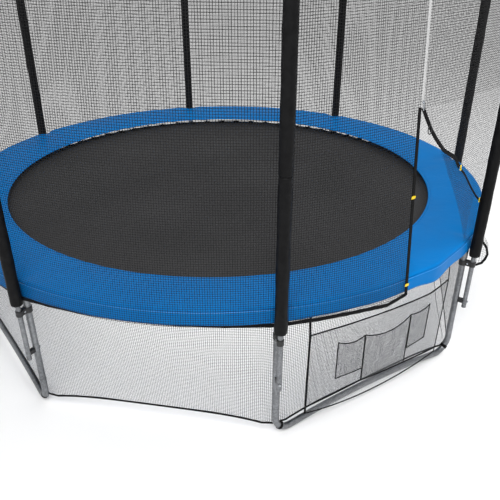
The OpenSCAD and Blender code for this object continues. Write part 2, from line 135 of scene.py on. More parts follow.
def carry(path, out, section, closed=False):
    """A closed section carried along a path. section holds pairs: the distance along out, and the
    one across it. out is squared to the path at each point. Open ends are closed with a fan."""
    path, out, section = (np.asarray(x, float) for x in (path, out, section))
    if closed:
        ahead = np.roll(path, -1, 0) - np.roll(path, 1, 0)
    else:
        ahead = np.gradient(path, axis=0)
    ahead /= np.linalg.norm(ahead, axis=1, keepdims=True)
    out = np.broadcast_to(out, path.shape)
    out = out - np.sum(out * ahead, 1, keepdims=True) * ahead
    out = out / np.linalg.norm(out, axis=1, keepdims=True)
    side = np.cross(out, ahead)
    rings = path[:, None] + section[None, :, :1] * out[:, None] + section[None, :, 1:] * side[:, None]
    m, k = rings.shape[:2]
    steps = np.linalg.norm(np.diff(np.concatenate([path, path[:1]]), axis=0), axis=1)
    girth = np.linalg.norm(np.diff(np.concatenate([section, section[:1]]), axis=0), axis=1)
    u = np.concatenate([[0], np.cumsum(steps)])
    v = np.concatenate([[0], np.cumsum(girth)])
    uv = np.stack(np.meshgrid(u, v, indexing="ij"), -1)
    points, faces, spots = lattice(rings, around=closed, across=True, uv=uv)
    if closed:
        return points, faces, spots
    turn = np.arange(k)
    first = np.stack([np.full(k, m * k), (turn + 1) % k, turn, np.full(k, -1)], 1)
    last = np.stack([np.full(k, m * k + 1), (m - 1) * k + turn, (m - 1) * k + (turn + 1) % k,
        np.full(k, -1)], 1)
    points = np.concatenate([points, rings[0].mean(0)[None], rings[-1].mean(0)[None]])
    return points, np.concatenate([faces, first, last]), np.concatenate([spots, np.zeros((2 * k, 4, 2))])


def oval(thick, wide, n=8, square=1.0):
    """Section of n points: an ellipse at square 1, closer to a rounded rectangle as it falls."""
    t = (np.arange(n) + 0.5) * 2 * math.pi / n
    c, s = np.cos(t), np.sin(t)
    return np.stack([thick / 2 * np.sign(c) * np.abs(c) ** square,
        wide / 2 * np.sign(s) * np.abs(s) ** square], -1)


def pillow(centre, half, along, out, square=0.35, m=12, n=8):
    """A rounded block: a sphere's sines and cosines raised to a power below 1, stretched to the
    three half sizes along, across and out."""
    along, out = np.asarray(along, float), np.asarray(out, float)
    side = np.cross(out, along)
    t = np.linspace(0, 2 * math.pi, m, endpoint=False)[:, None]
    p = np.linspace(-math.pi / 2, math.pi / 2, n)[None]

    def power(x):
        return np.sign(x) * np.abs(x) ** square

    shape = (half[0] * power(np.cos(t)) * power(np.cos(p)), half[1] * power(np.sin(t)) * power(np.cos(p)),
             half[2] * power(np.sin(p)) * np.ones_like(t))
    points = np.asarray(centre, float) + sum(s[..., None] * d for s, d in zip(shape, (along, side, out)))
    return lattice(points, around=True, uv=grid_uv(m + 1, n, 0.04, 0.02))


def repeat(part, angles):
    """Copies of a part, each turned about the Z axis by one of the angles."""
    points, faces, spots = part
    t = np.radians(np.asarray(angles, float))[:, None]
    x, y, z = points.T
    turned = np.stack([x * np.cos(t) - y * np.sin(t), x * np.sin(t) + y * np.cos(t),
        np.broadcast_to(z, (len(t), len(z)))], -1)
    shifted = np.where(faces[None] >= 0, faces[None] + (np.arange(len(t)) * len(points))[:, None, None], -1)
    spots = None if spots is None else np.tile(spots, (len(t), 1, 1))
    return turned.reshape(-1, 3), shifted.reshape(-1, 4), spots


def joined(parts):
    """Several parts as one."""
    starts = np.cumsum([0] + [len(p[0]) for p in parts[:-1]])
    spots = [np.zeros((len(p[1]), 4, 2)) if p[2] is None else p[2] for p in parts]
    faces = [np.where(p[1] >= 0, p[1] + s, -1) for p, s in zip(parts, starts)]
    return np.concatenate([p[0] for p in parts]), np.concatenate(faces), np.concatenate(spots)


def piece(name, part, material, body="frame"):
    """A part as an object that rides on a body; a face with -1 for its last corner is a triangle."""
    points, faces, spots = part
    mesh = bpy.data.meshes.new(name)
    used = faces >= 0
    counts = used.sum(1)
    mesh.vertices.add(len(points))
    mesh.vertices.foreach_set("co", np.ascontiguousarray(points, np.float32).ravel())
    mesh.loops.add(int(counts.sum()))
    mesh.loops.foreach_set("vertex_index", faces[used].astype(np.int32))
    mesh.polygons.add(len(faces))
    mesh.polygons.foreach_set("loop_start", np.concatenate([[0], np.cumsum(counts)[:-1]]).astype(np.int32))
    mesh.polygons.foreach_set("use_smooth", np.full(len(faces), True))
    if spots is not None:
        mesh.uv_layers.new(name="UVMap").data.foreach_set("uv", spots[used].astype(np.float32).ravel())
    mesh.update(calc_edges=True)
    mesh.validate()
    mesh.materials.append(material)
    made = bpy.data.objects.new(name, mesh)
    bpy.context.scene.collection.objects.link(made)
    if body:
        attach(made, body)
    return made


# ---- Materials ----------------------------------------------------------------------------------


def linear(code):
    """An sRGB hex colour as linear RGBA."""
    values = [int(code[i : i + 2], 16) / 255 for i in (1, 3, 5)]
    return (*[v / 12.92 if v <= 0.04045 else ((v + 0.055) / 1.055) ** 2.4 for v in values], 1.0)


def add(tree, kind, inputs=(), **settings):
    """Adds a shader node with its settings. Inputs are a list in the order of the sockets, or a dict
    by socket name; an output is linked, as is a node's first one, a hex colour is turned to linear,
    and anything else is a value."""
    made = tree.nodes.new("ShaderNode" + kind)
    for name, value in settings.items():
        setattr(made, name, value)
    for key, value in inputs.items() if isinstance(inputs, dict) else enumerate(inputs):
        if isinstance(value, bpy.types.Node):
            value = value.outputs[0]
        if isinstance(value, bpy.types.NodeSocket):
            tree.links.new(value, made.inputs[key])
        else:
            made.inputs[key].default_value = linear(value) if isinstance(value, str) else value
    return made


def finish(name, colour, roughness, **values):
    """A new material with its Principled shader set; returns the material, its tree and shader."""
    material = bpy.data.materials.new(name)
    material.use_nodes = True
    tree = material.node_tree
    shader = tree.nodes["Principled BSDF"]
    shader.inputs["Base Color"].default_value = linear(colour)
    shader.inputs["Roughness"].default_value = roughness
    for key, value in values.items():
        shader.inputs[key.replace("_", " ")].default_value = value
    return material, tree, shader


def feed(tree, shader, **sources):
    """Links nodes to the shader's sockets: a node's first output, or its colour where it mixes two."""
    for name, node in sources.items():
        source = node.outputs[2 if node.bl_idname == "ShaderNodeMix" else 0]
        tree.links.new(source, shader.inputs[name.replace("_", " ")])


def open_mesh(name, colour, cell, thread, roughness=0.55):
    """Knitted net: threads of the given width round open cells, from the piece's UV in metres. The
    distance to the nearest thread line is a ping-pong of U and V over half a cell."""
    material, tree, shader = finish(name, colour, roughness, Specular_IOR_Level=0.2)
    spot = add(tree, "SeparateXYZ", [add(tree, "TexCoord").outputs["UV"]])
    away = [add(tree, "Math", [spot.outputs[k], cell / 2], operation="PINGPONG") for k in (0, 1)]
    nearest = add(tree, "Math", away, operation="MINIMUM")
    held = add(tree, "Math", [nearest, thread / 2], operation="LESS_THAN")
    height = add(tree, "Math", [thread, nearest], operation="SUBTRACT")
    bump = add(tree, "Bump", {"Height": height, "Strength": 0.6, "Distance": 0.001})
    feed(tree, shader, Alpha=held, Normal=bump)
    return material


def galvanised():
    """Hot-dip galvanised steel tube: grey zinc with faint 9 mm spangle and patches of dull bloom."""
    material, tree, shader = finish("galvanised_steel_tube", "#85878a", 0.42, Metallic=1.0)
    where = add(tree, "TexCoord").outputs["Object"]
    spangle = add(tree, "TexVoronoi", {"Vector": where, "Scale": 1 / 0.009})
    bloom = add(tree, "TexNoise", {"Vector": where, "Scale": 7.0, "Detail": 6.0, "Roughness": 0.6})
    grain = add(tree, "SeparateColor", [spangle.outputs["Color"]])
    dulled = add(tree, "Math", [bloom, 0.75], operation="MULTIPLY")
    patch = add(tree, "Math", [grain, 0.25, dulled], operation="MULTIPLY_ADD")
    share = add(tree, "MapRange", [patch, 0.3, 0.7, 0.0, 1.0])
    tint = add(tree, "Mix", {"Factor": share, 6: "#696b6e", 7: "#949699"}, data_type="RGBA")
    gloss = add(tree, "MapRange", [patch, 0.2, 0.8, 0.30, 0.52])
    fine = add(tree, "TexNoise", {"Vector": where, "Scale": 260.0, "Detail": 3.0})
    bump = add(tree, "Bump", {"Height": fine, "Strength": 0.12, "Distance": 0.0004})
    feed(tree, shader, Base_Color=tint, Roughness=gloss, Normal=bump)
    return material


def zinc():
    """Zinc-plated wire and bolts: bright, slightly blue, a little dulled in patches."""
    material, tree, shader = finish("zinc_plated_steel", "#b9bdc2", 0.28, Metallic=1.0)
    where = add(tree, "TexCoord").outputs["Object"]
    dull = add(tree, "TexNoise", {"Vector": where, "Scale": 45.0, "Detail": 4.0})
    gloss = add(tree, "MapRange", [dull, 0.3, 0.7, 0.2, 0.42])
    share = add(tree, "MapRange", [dull, 0.35, 0.7, 0.0, 1.0])
    tint = add(tree, "Mix", {"Factor": share, 6: "#c2c6cb", 7: "#94989d"}, data_type="RGBA")
    feed(tree, shader, Base_Color=tint, Roughness=gloss)
    return material


def moulded(name, dark, light, roughness):
    """Injection-moulded plastic: fine spark-eroded grain of about 0.6 mm and slight scuffs."""
    material, tree, shader = finish(name, dark, roughness, IOR=1.49)
    where = add(tree, "TexCoord").outputs["Object"]
    scuff = add(tree, "TexNoise", {"Vector": where, "Scale": 60.0, "Detail": 5.0})
    share = add(tree, "MapRange", [scuff, 0.45, 0.8, 0.0, 1.0])
    tint = add(tree, "Mix", {"Factor": share, 6: dark, 7: light}, data_type="RGBA")
    grain = add(tree, "TexNoise", {"Vector": where, "Scale": 1700.0, "Detail": 1.0})
    bump = add(tree, "Bump", {"Height": grain, "Strength": 0.15, "Distance": 0.0003})
    feed(tree, shader, Base_Color=tint, Normal=bump)
    return material


def coated_vinyl():
    """PVC-coated pad cover: saturated blue, satin, with an embossed 3 mm canvas grain, soft creases
    and cloudy patches of a slightly lighter, rougher blue."""
    material, tree, shader = finish("blue_pvc_cover", "#006cb6", 0.46, IOR=1.5, Specular_IOR_Level=0.06)
    where = add(tree, "TexCoord").outputs["Object"]
    cloud = add(tree, "TexNoise", {"Vector": where, "Scale": 2.2, "Detail": 5.0, "Roughness": 0.55})
    share = add(tree, "MapRange", [cloud, 0.35, 0.7, 0.0, 1.0])
    tint = add(tree, "Mix", {"Factor": share, 6: "#0070ba", 7: "#0079c6"}, data_type="RGBA")
    gloss = add(tree, "MapRange", [cloud, 0.3, 0.7, 0.36, 0.5])
    crease = add(tree, "TexNoise", {"Vector": where, "Scale": 9.0, "Detail": 3.0, "Distortion": 1.2})
    grain = add(tree, "TexVoronoi", {"Vector": where, "Scale": 1 / 0.003}, feature="F1")
    height = add(tree, "Math", [grain.outputs["Distance"], 0.06, crease], operation="MULTIPLY_ADD")
    bump = add(tree, "Bump", {"Height": height, "Strength": 0.35, "Distance": 0.006})
    feed(tree, shader, Base_Color=tint, Roughness=gloss, Normal=bump)
    return material


def mat_cloth():
    """Woven polypropylene mat: flat black tapes over and under each other. The real tapes are 2 mm
    wide; they are drawn 5 mm wide so that the weave shows from a few metres."""
    tape = 0.005
    material, tree, shader = finish("woven_polypropylene", "#3a3a3b", 0.62, IOR=1.49,
        Specular_IOR_Level=0.15)
    where = add(tree, "TexCoord").outputs["Object"]
    spot = add(tree, "SeparateXYZ", [where])
    across = [add(tree, "Math", [spot.outputs[k], tape / 2], operation="PINGPONG") for k in (0, 1)]
    over = add(tree, "TexChecker", [where, (1, 1, 1, 1), (0, 0, 0, 1), 1 / tape]).outputs["Fac"]
    ridge = add(tree, "Mix", {"Factor": over, 2: across[0], 3: across[1]})
    wear = add(tree, "TexNoise", {"Vector": where, "Scale": 1.6, "Detail": 6.0})
    shade = add(tree, "Math", [over, 0.35, wear], operation="MULTIPLY_ADD")
    share = add(tree, "MapRange", [shade, 0.35, 1.1, 0.0, 1.0])
    tint = add(tree, "Mix", {"Factor": share, 6: "#343435", 7: "#464647"}, data_type="RGBA")
    bump = add(tree, "Bump", {"Height": ridge, "Strength": 0.5, "Distance": 1.0})
    feed(tree, shader, Base_Color=tint, Normal=bump)
    return material


def sleeve_vinyl():
    """Black vinyl skin over closed-cell foam: satin black, pinched into shallow irregular folds, with
    painted shade: the folds' crests are painted lighter and their hollows darker.
    """
    material, tree, shader = finish("black_foam_sleeve", "#101011", 0.5, IOR=1.5, Specular_IOR_Level=0.1)
    where = add(tree, "TexCoord").outputs["Object"]
    fold = add(tree, "TexNoise", {"Vector": where, "Scale": 28.0, "Detail": 4.0, "Distortion": 0.6})
    share = add(tree, "MapRange", [fold, 0.3, 0.75, 0.0, 1.0])
    # Painted shade: the noise that raises the folds also lightens their crests and darkens their hollows.
    tint = add(tree, "Mix", {"Factor": share, 6: "#0b0b0c", 7: "#161617"}, data_type="RGBA")
    bump = add(tree, "Bump", {"Height": fold, "Strength": 0.35, "Distance": 0.003})
    feed(tree, shader, Base_Color=tint, Normal=bump)
    return material


def webbing(name, dark, light, pitch=0.0025):
    """Narrow woven tape: ribs across its length from the UV in metres, drawn 2.5 mm apart, a little
    coarser than the real ones so that they show. The rib tops are painted lighter and the grooves between
    them darker, as painted shade."""
    material, tree, shader = finish(name, dark, 0.75, Sheen_Weight=0.02, Specular_IOR_Level=0.1)
    spot = add(tree, "SeparateXYZ", [add(tree, "TexCoord").outputs["UV"]])
    rib = add(tree, "Math", [spot.outputs[0], pitch / 2], operation="PINGPONG")
    twill = add(tree, "Math", [spot.outputs[1], pitch / 3], operation="PINGPONG")
    height = add(tree, "Math", [rib, twill], operation="ADD")
    # Painted shade: the higher the rib, the lighter its colour, so the grooves between ribs are painted
    # darker.
    share = add(tree, "MapRange", [height, 0.0, pitch * 0.8, 0.0, 1.0])
    tint = add(tree, "Mix", {"Factor": share, 6: dark, 7: light}, data_type="RGBA")
    bump = add(tree, "Bump", {"Height": height, "Strength": 0.5, "Distance": 1.0})
    feed(tree, shader, Base_Color=tint, Normal=bump)
    return material


tube_metal = galvanised()
plated = zinc()
black_moulding = moulded("black_moulded_plastic", "#161617", "#2a2a2c", 0.5)
yellow_moulding = moulded("yellow_moulded_plastic", "#f0d000", "#d8b800", 0.35)
pad_vinyl = coated_vinyl()
# The piping is a real welt, but its lighter blue is a painted highlight along the pad's crease.
piping_painted_highlight = moulded("blue_pvc_piping_painted_highlight", "#1f86d6", "#3c9be4", 0.35)
mat_weave = mat_cloth()
foam_skin = sleeve_vinyl()
black_tape = webbing("black_webbing", "#060607", "#121213")
zip_tape = webbing("zip_tape", "#c4c4c4", "#dcdcdc")
thread = webbing("pad_thread", "#0b4f92", "#1463ad", 0.001)
# Knotless polyethylene net with 12 mm cells, a lighter knit for the doorway's loose flap, a light
# one round the legs, and close meshes for the pocket panel, its apron and its pockets.
safety_mesh = open_mesh("knotless_safety_net", "#121213", 0.012, 0.0021)
leg_mesh = open_mesh("leg_cloth_mesh", "#58595b", 0.0105, 0.0021)
door_mesh = open_mesh("doorway_net", "#121213", 0.012, 0.0014)
apron_mesh = open_mesh("apron_mesh", "#a4a6a9", 0.0043, 0.0005)
panel_mesh = open_mesh("panel_mesh", "#66676a", 0.0043, 0.0007)
pocket_mesh = open_mesh("pocket_mesh", "#5a5b5d", 0.005, 0.0009)

by_slot = {
    "galvanised_tube": tube_metal, "pole_foam": foam_skin, "black_plastic": black_moulding,
    "zinc_fastener": plated, "blue_vinyl": pad_vinyl, "mat_weave": mat_weave, "black_net": safety_mesh,
    "black_webbing": black_tape, "zip_tape": zip_tape, "yellow_plastic": yellow_moulding,
    "grey_net": leg_mesh, "grey_cloth": pocket_mesh,
}
for part in frame["record"]["subparts"]:
    node_mesh = frame["nodes"][part["node"]].data
    node_mesh.materials.clear()
    node_mesh.materials.append(by_slot[part["material_slot"]])


# ---- Spring pad ---------------------------------------------------------------------------------


def pole_dent(a, width):
    """1 at each pole, falling to 0 as a bell of the given width in degrees."""
    gap = np.min(np.abs((np.asarray(a)[..., None] - np.array(POSTS) + 180) % 360 - 180), -1)
    return np.exp(-((gap / width) ** 2))


def bell(a, middle, width):
    """1 at the middle angle, falling to either side as the exponential of minus the square."""
    gap = (np.asarray(a) - middle + 180) % 360 - 180
    return np.exp(-((gap / width) ** 2))


def pressed(a):
    """1 where the outer edge is drawn in: at each pole, and under the doorway's strap."""
    return pole_dent(a, 1.5) + bell(a, STRAP_A, 1.8)


def pushed_out(a):
    """How far, in metres, the slack swells out to either side of the doorway's strap."""
    return 0.003 * bell(a, -4.6, 2.2) + 0.015 * bell(a, 8.0, 3.4)


def ripple(a, seed):
    """A slow wave round the ring: sines of four periods with phases from the seed."""
    t = np.radians(a)
    phase = np.random.default_rng(seed).uniform(0, 2 * math.pi, 4)
    return sum(np.sin(n * t + p) * w for n, p, w in zip((9, 17, 31, 53), phase, (0.4, 0.3, 0.2, 0.1)))


def pad_ring():
    """The pad's section, carried round: flat below, rounded inner edge with a sewn groove, a top
    that crowns by 5 mm, and an outer roll. The outer edge is pressed in by 9 mm at each pole, and
    the top lifts beside each dent."""
    under = [(1.476, 0.8300), (1.53, 0.8275), (1.60, 0.8235), (1.68, 0.8215), (1.746, 0.8205),
        (1.782, 0.8325), (1.815, 0.8335)]
    roll = [(1.8235, 0.8365), (1.8268, 0.842), (1.8268, 0.848), (1.8235, 0.8545), (1.8175, 0.8578)]
    s = np.linspace(0, 1, 20)
    top_r = 1.810 + (1.492 - 1.810) * s
    top_z = 0.8582 + (0.8395 - 0.8582) * s + 0.0055 * np.sin(math.pi * s) ** 0.8
    inner = [(1.4885, 0.8385), (1.4865, 0.8372), (1.4845, 0.8385), (1.480, 0.8392), (1.474, 0.838),
        (1.4705, 0.8348), (1.4712, 0.8315)]
    outline = np.array(under + roll + list(zip(top_r, top_z)) + inner)
    a = np.linspace(0, 360, 900, endpoint=False)[:, None]
    r, z = outline[None, :, 0], outline[None, :, 1]
    outer = np.clip((r - 1.62) / (PAD_OUT - 1.62), 0, 1) ** 2
    upper = np.clip((z - 0.836) / 0.018, 0, 1)
    press = pressed(a)
    shoulder = pole_dent(a, 4.5) - 1.5 * pole_dent(a, 2.0)
    r = r + (pushed_out(a) - 0.009 * press) * outer
    z = z + upper * (0.0016 * ripple(a, 3)
        + outer * (-0.009 * press + 0.006 * shoulder + 0.002 * ripple(a, 5)))
    uv = grid_uv(901, len(outline) + 1, 11.4, 0.78)
    return lattice(point(r, a, z), around=True, across=True, uv=uv)


def skirt_ring():
    """The skirt: 1.2 mm cloth that hangs from under the roll, with a 15 mm turned hem twice as
    thick; it ripples more towards the hem and its top is pressed in at each pole."""
    a = np.linspace(0, 360, 900, endpoint=False)[:, None]
    down = np.array([1.0, 0.86, 0.80, 0.66, 0.5, 0.33, 0.16, 0.0, 0.0, 0.16, 0.33, 0.5, 0.66, 0.80, 0.86,
        1.0])[None]
    thick = np.array([0, 0, 0, 0, 0, 0, 0, 0, 1.2, 1.2, 1.2, 1.2, 1.2, 1.2, 2.3, 2.3])[None] * 1e-3
    low = SKIRT_Z + 0.0025 * ripple(a, 8) - 0.004 * pole_dent(a, 3.0)
    low = low - 0.014 * bell(a, 8.0, 3.0) + 0.010 * bell(a, 14.5, 3.0)
    crease = CREASE_Z - 0.010 * pressed(a)
    z = crease + (low - crease) * down
    press = np.minimum(pressed(a), 1)
    drawn_in = 0.008 * press * np.clip(1 - down / 0.14, 0, 1)
    waves = 0.0016 * down * ripple(a, 11) * (1 - press)
    r = SKIRT_R + thick + pushed_out(a) - drawn_in + waves
    # Ring order: inner side from the hem up, then the outer side down, so faces point outwards.
    return lattice(point(r, a, z)[:, ::-1], around=True, across=True, uv=grid_uv(901, 17, 11.5, 0.16))


def stitches(radius, height, count, length, lift):
    """A row of sewn stitches round a circle: short four-sided capsules, high in the middle."""
    a = np.linspace(-0.5, 0.5, 4) * length / radius * 180 / math.pi
    path = point(radius, a, height + lift * np.cos(np.linspace(-1.2, 1.2, 4)))
    return repeat(carry(path, (0, 0, 1), oval(0.0012, 0.0014, 4)), np.arange(count) * 360 / count)


def welt():
    """Piping of 5 mm along the crease where the skirt is sewn on; it follows the pad's dents. Its blue,
    lighter than the pad's, is a painted highlight along the crease.
    """
    a = np.linspace(0, 360, 900, endpoint=False)
    press = pressed(a)
    r = SKIRT_R - 0.0002 - 0.004 * press + pushed_out(a) + 0.0008 * ripple(a, 11)
    path = point(r, a, 0.8405 - 0.004 * press + 0.001 * ripple(a, 21))
    return carry(path, radial(a), oval(0.005, 0.005, 6), closed=True)


pad = piece("spring_pad_cover", pad_ring(), pad_vinyl)
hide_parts("spring_pad")
skirt = piece("spring_pad_skirt", skirt_ring(), pad_vinyl)
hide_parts("pad_skirt")
# Drawn in a lighter blue than the pad: a painted highlight along the crease.
piece("spring_pad_piping", welt(), piping_painted_highlight)
seams = joined([stitches(1.4865, 0.8368, 900, 0.007, 0.0012),
    stitches(1.8310, 0.7785, 1100, 0.007, 0.0006)])
piece("spring_pad_stitching", seams, thread)


# ---- Mat, rings and springs ---------------------------------------------------------------------


def bounce(made):
    """Reads a piece's points and bakes its placement into them."""
    count = len(made.data.vertices)
    co = np.zeros(count * 3, np.float32)
    made.data.vertices.foreach_get("co", co)
    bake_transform(made)


def mat_disc():
    """The mat: a 3 mm disc of two faces with a hem 60 mm wide whose two turns stand 1 mm proud, and
    a groove along each seam."""
    rows = [0.0005, 0.08, 0.2, 0.35, 0.5, 0.65, 0.8, 0.95, 1.1, 1.25, 1.38, 1.46, 1.5075, 1.5090, 1.5105,
        1.512, 1.535, 1.5365, 1.538, 1.5395, 1.566, MAT_R - 0.001, MAT_R]
    lift = [0, 0, 0, 0, 0, 0, 0, 0, 0, 0, 0, 0, 0, 0.2, 0.9, 1.0, 1.0, 0.4, 0.4, 1.0, 1.0, 0.8, 0.0]
    r = np.array(rows + rows[::-1])
    up = np.array([1.5 + x for x in lift[:-1]] + [0.4, -0.4] + [-1.5 - x for x in lift[-2::-1]]) * 1e-3
    a = np.linspace(0, 360, 360, endpoint=False)[:, None]
    sag = -0.006 * (1 - (np.minimum(r, MAT_R) / MAT_R) ** 2)
    points = point(r[None], a, MAT_Z + (up + sag)[None])
    return lattice(points[:, ::-1], around=True, across=False, uv=grid_uv(361, len(r), 9.8, 3.2))


def tab():
    """A webbing tab 45 mm wide: a strap laid on the hem, round the ring's bar and back under it."""
    t = np.linspace(-90, 90, 9)
    nose_r, nose_z = 1.5765 + 0.0036 * cosd(t), MAT_Z + 0.0040 * np.sin(np.radians(t))
    r = np.concatenate([[1.513, 1.535, 1.555], nose_r[::-1], [1.555, 1.535, 1.513]])
    rise = np.array([0.0035, 0.0036, 0.0038])
    z = np.concatenate([MAT_Z + rise, nose_z[::-1], MAT_Z - rise[::-1]])
    path = np.stack([np.zeros(len(r)), -r, z], -1)
    ahead = np.gradient(path, axis=0)
    out = np.cross(ahead, (1, 0, 0))
    return carry(path, out, oval(0.0016, 0.045, 8, 0.3))


def ring():
    """Triangular ring of 4.5 mm wire: three straight sides and three bends, apex outwards."""
    corners = np.array([(-0.018, -1.5765), (0.018, -1.5765), (0.0, -1.6075)])
    middle = corners.mean(0)
    inset = middle + (corners - middle) * 0.72
    arc = np.radians(np.linspace(-55, 55, 5))
    heading = np.arctan2(*(corners - middle).T[::-1])
    bends = [c + 0.0065 * np.stack([np.cos(h + arc), np.sin(h + arc)], -1) for c, h in zip(inset, heading)]
    path = np.concatenate(bends)
    path = np.concatenate([path, np.full((len(path), 1), MAT_Z)], 1)
    return carry(path, (0, 0, 1), oval(0.0045, 0.0045, 6), closed=True)


def spring():
    """Extension spring: 22 close turns of 3.2 mm wire, 22 mm across, whose ends run on into an
    inner hook over the ring and an outer hook down into the rail."""
    turns, steps = 22, 9
    s = np.linspace(0, 1, turns * steps + 1)
    angle = 2 * math.pi * turns * s
    start, end = np.array([0, -1.640, MAT_Z + 0.006]), np.array([0, -1.762, RAIL_Z - 0.002])
    ahead = (end - start) / np.linalg.norm(end - start)
    side = np.array([1.0, 0, 0])
    up = np.cross(side, ahead)
    out = np.cos(angle)[:, None] * -up + np.sin(angle)[:, None] * side
    coil = start + s[:, None] * (end - start) + COIL_R * out
    hook_in = [(0, -1.593, MAT_Z - 0.006), (0, -1.5925, MAT_Z), (0, -1.5945, MAT_Z + 0.0045),
        (0, -1.600, MAT_Z + 0.0062), (0, -1.618, MAT_Z + 0.0065), (0, -1.634, MAT_Z + 0.0063)]
    hook_out = [(0, -1.766, RAIL_Z), (0, -1.780, RAIL_Z + 0.0115), (0, -1.7925, RAIL_Z + 0.0225),
        (0, -1.7975, RAIL_Z + 0.0245), (0, -1.7995, RAIL_Z + 0.0215), (0, -1.7992, RAIL_Z + 0.010)]
    wire = oval(WIRE, WIRE, 5)
    return joined([carry(coil, out, wire), carry(hook_in, (1, 0, 0), wire),
        carry(hook_out, (1, 0, 0), wire)])


places = (np.arange(SPRINGS) + 0.5) * 360 / SPRINGS
mat = piece("mat_bed", mat_disc(), mat_weave, body=None)
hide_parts("mat")
tabs = piece("mat_webbing_tabs", repeat(tab(), places), black_tape, body=None)
rings = piece("triangular_rings", repeat(ring(), places), plated, body=None)
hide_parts("v_rings")
coils = piece("coil_springs", repeat(spring(), places), plated, body=None)
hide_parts("springs")
for made in (mat, tabs, rings, coils):
    bounce(made)


# ---- Poles --------------------------------------------------------------------------------------


def sleeve(index):
    """Foam sleeve in two lengths: an outline with rounded ends, swollen by slow waves, with a welded
    ridge along the side that faces away from the mat."""
    parts = []
    for low, high in ((0.724, 1.5395), (1.5405, 2.580)):
        z = np.concatenate([[low, low, low + 0.002, low + 0.006],
            np.linspace(low + 0.012, high - 0.012, 26), [high - 0.006, high - 0.002, high, high]])
        inset = np.concatenate([[0.0155, 0.004, 0.0015, 0.0003], np.zeros(26),
            [0.0003, 0.0015, 0.004, 0.0155]])
        turn = np.linspace(0, 360, 28, endpoint=False)[:, None]
        ridge = 0.0012 * np.exp(-(((turn - 180) / 7) ** 2))
        swell = 0.0007 * np.sin(19 * z + index) + 0.0005 * np.sin(47 * z + 2 * index + np.radians(2 * turn))
        r = SLEEVE_R - inset[None] + np.where(inset[None] > 0.001, 0, swell + ridge)
        lean = np.stack([r * np.sin(np.radians(turn)), -r * np.cos(np.radians(turn))], -1)
        foot = point(POLE_R + 0.0015, POSTS[index], 0.0)
        around = np.radians(POSTS[index] + 180)
        x = foot[0] + lean[..., 0] * np.cos(around) - lean[..., 1] * np.sin(around)
        y = foot[1] + lean[..., 0] * np.sin(around) + lean[..., 1] * np.cos(around)
        skin = np.stack([x, y, np.broadcast_to(z, x.shape)], -1)
        parts.append(lattice(skin, around=True, uv=grid_uv(29, len(z), 0.19, high - low)))
    return joined(parts)


for index in range(8):
    made = piece(f"pole_sleeve_{index + 1}", sleeve(index), foam_skin)
    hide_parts(f"pole_foam_{index + 1}")


# ---- Safety net ---------------------------------------------------------------------------------


def net_sheet(angles, heights):
    """Single-layer net over a grid of angles and heights; UV is metres along and up."""
    a, z = np.meshgrid(angles, heights, indexing="ij")
    uv = np.stack([np.radians(a) * 1.8, z], -1)
    return lattice(point(net_radius(a, z), a, z), uv=uv)


def on_net(a, z, lift=0.0):
    """Points on the net at angle a and height z, lifted outwards."""
    a, z = np.asarray(a, float), np.asarray(z, float)
    return point(net_radius(a, z) + lift, a, z)


def strip(a, z, wide, thick, lift=0.0, n=8, square=0.35):
    """Webbing laid on the net along given angles and heights."""
    a, z = np.asarray(a, float), np.asarray(z, float)
    return carry(on_net(a, z, lift), radial(a), oval(thick, wide, n, square))


def bay_angles(first, last, step):
    """Angles from first to last, about a step apart, with one exactly at each pole between them."""
    posts = sorted(p + 360 * k for k in (0, 1) for p in POSTS)
    stops = [first] + [p for p in posts if first + 0.2 < p < last - 0.2] + [last]
    spans = [(p, q, max(2, round((q - p) / step) + 1)) for p, q in zip(stops, stops[1:])]
    return np.concatenate([np.linspace(*span)[:-1] for span in spans] + [[last]])


def closed_net():
    """The seven closed bays. The foot tucks in under the skirt's hem in the middle of each bay."""
    a = bay_angles(LEG_HALF, 360 - LEG_HALF, 0.75)
    z = np.concatenate([[0.757, 0.765], np.linspace(0.775, NET_HIGH - 0.018, 30)])
    aa, zz = np.meshgrid(a, z, indexing="ij")
    r = net_radius(aa, zz)
    r[:, 0] = hem_radius(a)
    uv = np.stack([np.radians(aa) * 1.8, zz], -1)
    return lattice(point(r, aa, zz), uv=uv)


def hem_radius(a):
    """Radius of the closed bays' hem: at the poles that of the net, 44 mm further in at mid bay."""
    off, half = bay(np.asarray(a, float))
    return NET_TOP_R + 0.001 - 0.044 * np.maximum(cosd(90 * off / half), 0) ** 0.7


net = piece("safety_net", closed_net(), safety_mesh)
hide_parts("enclosure_net")
hem_a = bay_angles(LEG_HALF, 360 - LEG_HALF, 1.0)
door_hem_a = np.linspace(-LEG_HALF, STRAP_A, 24)
DOOR_HEM = ((-22.85, -19.5, -12.8, -8, -3.7, -2, STRAP_A),
    (0.751, 0.7545, 0.7545, 0.749, 0.7365, 0.748, 0.760))
door_hem_z = np.interp(door_hem_a, *DOOR_HEM)
closed_hem = point(hem_radius(hem_a), hem_a, HEM_Z + 0 * hem_a)
hem_path = np.concatenate([closed_hem, on_net(door_hem_a[1:], door_hem_z[1:], 0.001)])
hem_out = radial(np.concatenate([hem_a, 360 + door_hem_a[1:]]))
hem = piece("net_hem_webbing", carry(hem_path, hem_out, oval(0.0035, 0.023, 8, 0.4)), black_tape)
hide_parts("net_hem")


def top_webbing():
    """The band along the net's upper edge, and at each pole a strap that loops over its cap."""
    a = bay_angles(-LEG_HALF, 360 - LEG_HALF - 0.3, 2.0)
    parts = [strip(a, np.full(len(a), NET_HIGH - 0.011), 0.020, 0.003)]
    for post in POSTS:
        r = np.array([1.832, 1.838, 1.846, 1.8495])
        z = NET_HIGH - np.array([0.012, 0.010, 0.010, 0.011])
        parts.append(carry(point(r, np.full(4, post), z), (0, 0, 1), oval(0.0018, 0.020, 8, 0.3)))
    return joined(parts)


top_band = piece("net_top_webbing", top_webbing(), black_tape)
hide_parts("net_top_band")

